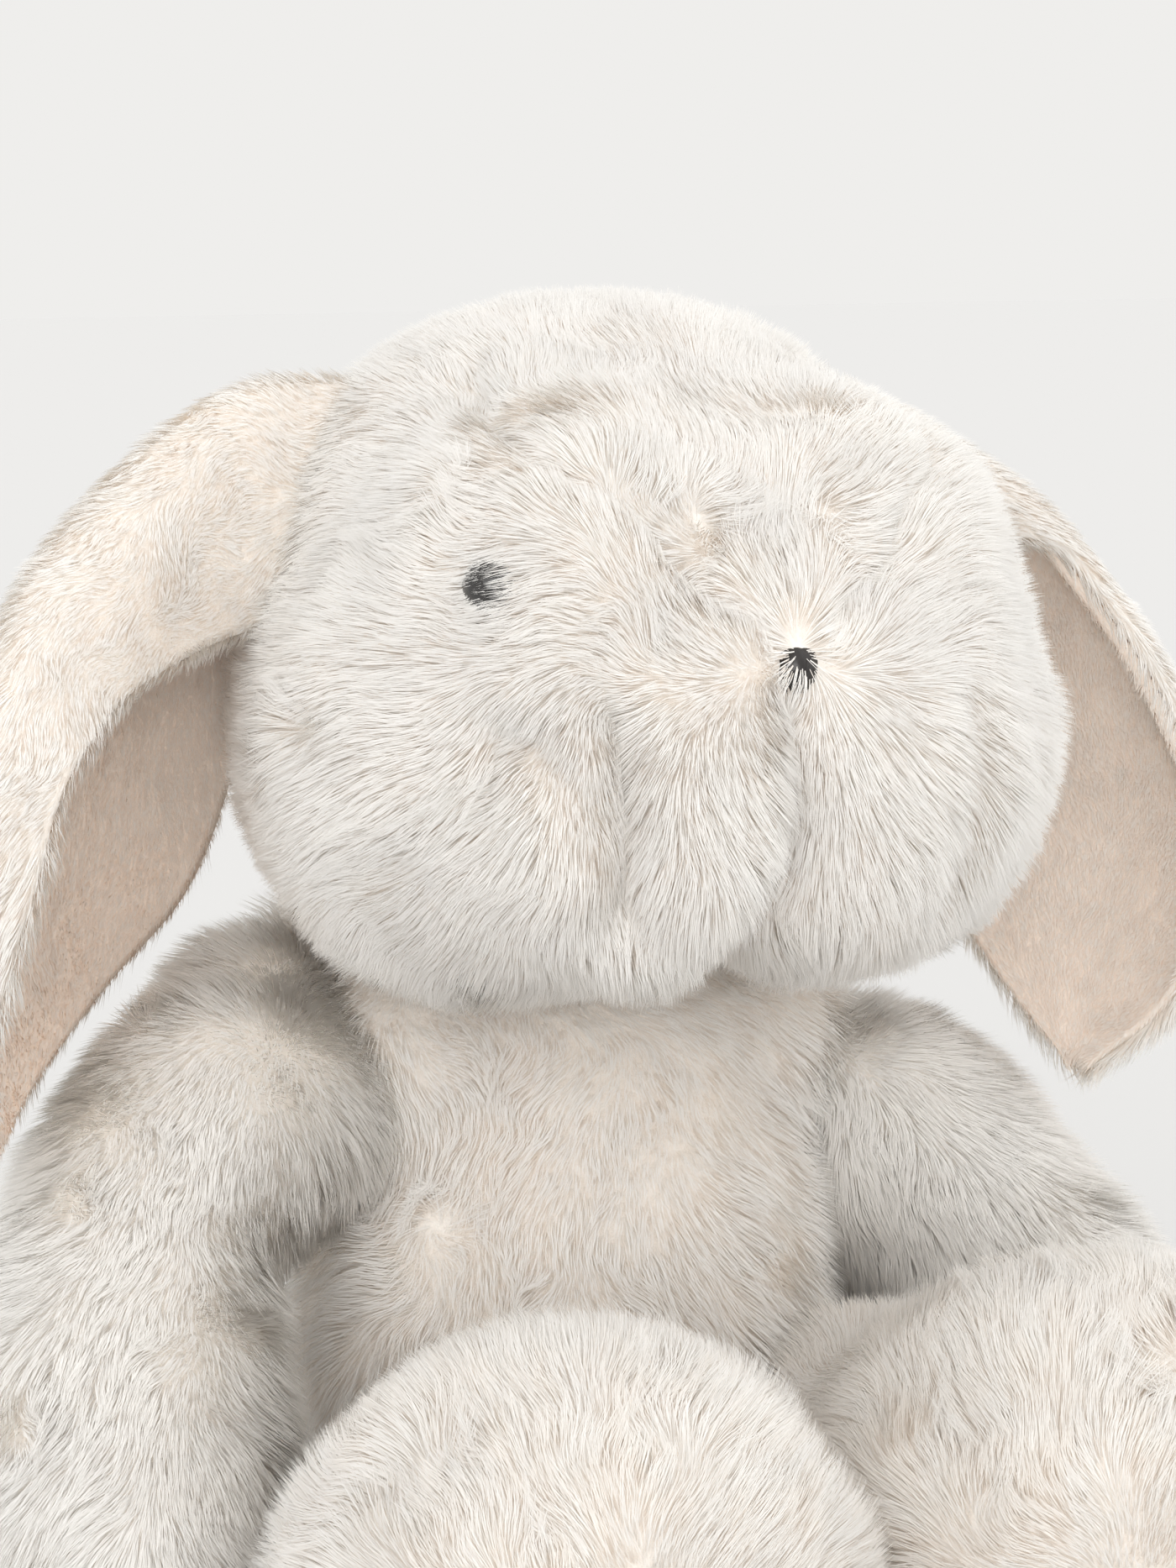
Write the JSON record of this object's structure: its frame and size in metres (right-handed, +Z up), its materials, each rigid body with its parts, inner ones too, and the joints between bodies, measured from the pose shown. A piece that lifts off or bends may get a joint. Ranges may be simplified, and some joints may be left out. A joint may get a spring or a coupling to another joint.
{
  "type": "stuffed rabbit",
  "caption": "Seated lop-eared stuffed rabbit in long ivory fur, with a turning and nodding head, lifting ears and swinging arms and legs",
  "frame": {"origin": "middle of the flat seat under the torso", "axes": "+Z up, the rabbit faces -Y, its left side is +X"},
  "size_m": [0.2579, 0.233, 0.26],
  "materials": {
    "fur": "ivory long-pile faux fur",
    "ear_lining": "cream short-pile velour",
    "stuffing": "white polyester fibre",
    "bag_cloth": "plain woven cotton",
    "beads": "small plastic beads",
    "eye": "glossy black",
    "nose": "glossy dark brown",
    "washer": "white moulded plastic"
  },
  "bodies": {
    "torso": {"torso_front": "fur", "torso_back_left": "fur", "torso_back_right": "fur", "torso_stuffing": "stuffing", "bead_bag": "bag_cloth", "beads": "beads", "tail_fur": "fur", "tail_stuffing": "stuffing"},
    "neck": {"neck_stuffing": "stuffing"},
    "head": {"head_gusset": "fur", "head_side_left": "fur", "head_side_right": "fur", "head_stuffing": "stuffing", "eye_left": "eye", "eye_left_washer": "washer", "eye_right": "eye", "eye_right_washer": "washer", "nose": "nose", "nose_washer": "washer"},
    "arm_left": {"arm_fur_left": "fur", "arm_stuffing_left": "stuffing"},
    "leg_left": {"leg_fur_left": "fur", "leg_stuffing_left": "stuffing"},
    "ear_left": {"ear_fur_left": "fur", "ear_lining_left": "ear_lining"},
    "arm_right": {"arm_fur_right": "fur", "arm_stuffing_right": "stuffing"},
    "leg_right": {"leg_fur_right": "fur", "leg_stuffing_right": "stuffing"},
    "ear_right": {"ear_fur_right": "fur", "ear_lining_right": "ear_lining"}
  },
  "joints": [
    {"name": "head_turn", "type": "hinge", "parent": "torso", "child": "neck", "pos_m": [0, -0.003, 0.141], "axis": [0, 0, 1], "range_deg": [-20, 20], "stiffness_Nm_per_rad": 0.8},
    {"name": "head_nod", "type": "hinge", "parent": "neck", "child": "head", "pos_m": [0, -0.003, 0.141], "axis": [1, 0, 0], "range_deg": [-15, 4], "stiffness_Nm_per_rad": 3},
    {"name": "ear_lift_left", "type": "hinge", "parent": "head", "child": "ear_left", "pos_m": [0.046, 0.008, 0.248], "axis": [0, -1, 0], "range_deg": [0, 70]},
    {"name": "ear_lift_right", "type": "hinge", "parent": "head", "child": "ear_right", "pos_m": [-0.046, 0.008, 0.248], "axis": [0, 1, 0], "range_deg": [0, 70]},
    {"name": "arm_swing_left", "type": "hinge", "parent": "torso", "child": "arm_left", "pos_m": [0.046, 0, 0.106], "axis": [-0.9404, -0.3401, 0], "range_deg": [0, 16], "stiffness_Nm_per_rad": 0.6},
    {"name": "arm_swing_right", "type": "hinge", "parent": "torso", "child": "arm_right", "pos_m": [-0.046, 0, 0.106], "axis": [-0.9404, 0.3401, 0], "range_deg": [0, 16], "stiffness_Nm_per_rad": 0.6},
    {"name": "leg_swing_left", "type": "hinge", "parent": "torso", "child": "leg_left", "pos_m": [0.035, -0.035, 0.04], "axis": [-1, 0, 0], "range_deg": [-35, 8], "stiffness_Nm_per_rad": 0.8},
    {"name": "leg_swing_right", "type": "hinge", "parent": "torso", "child": "leg_right", "pos_m": [-0.035, -0.035, 0.04], "axis": [-1, 0, 0], "range_deg": [-35, 8], "stiffness_Nm_per_rad": 0.8}
  ]
}
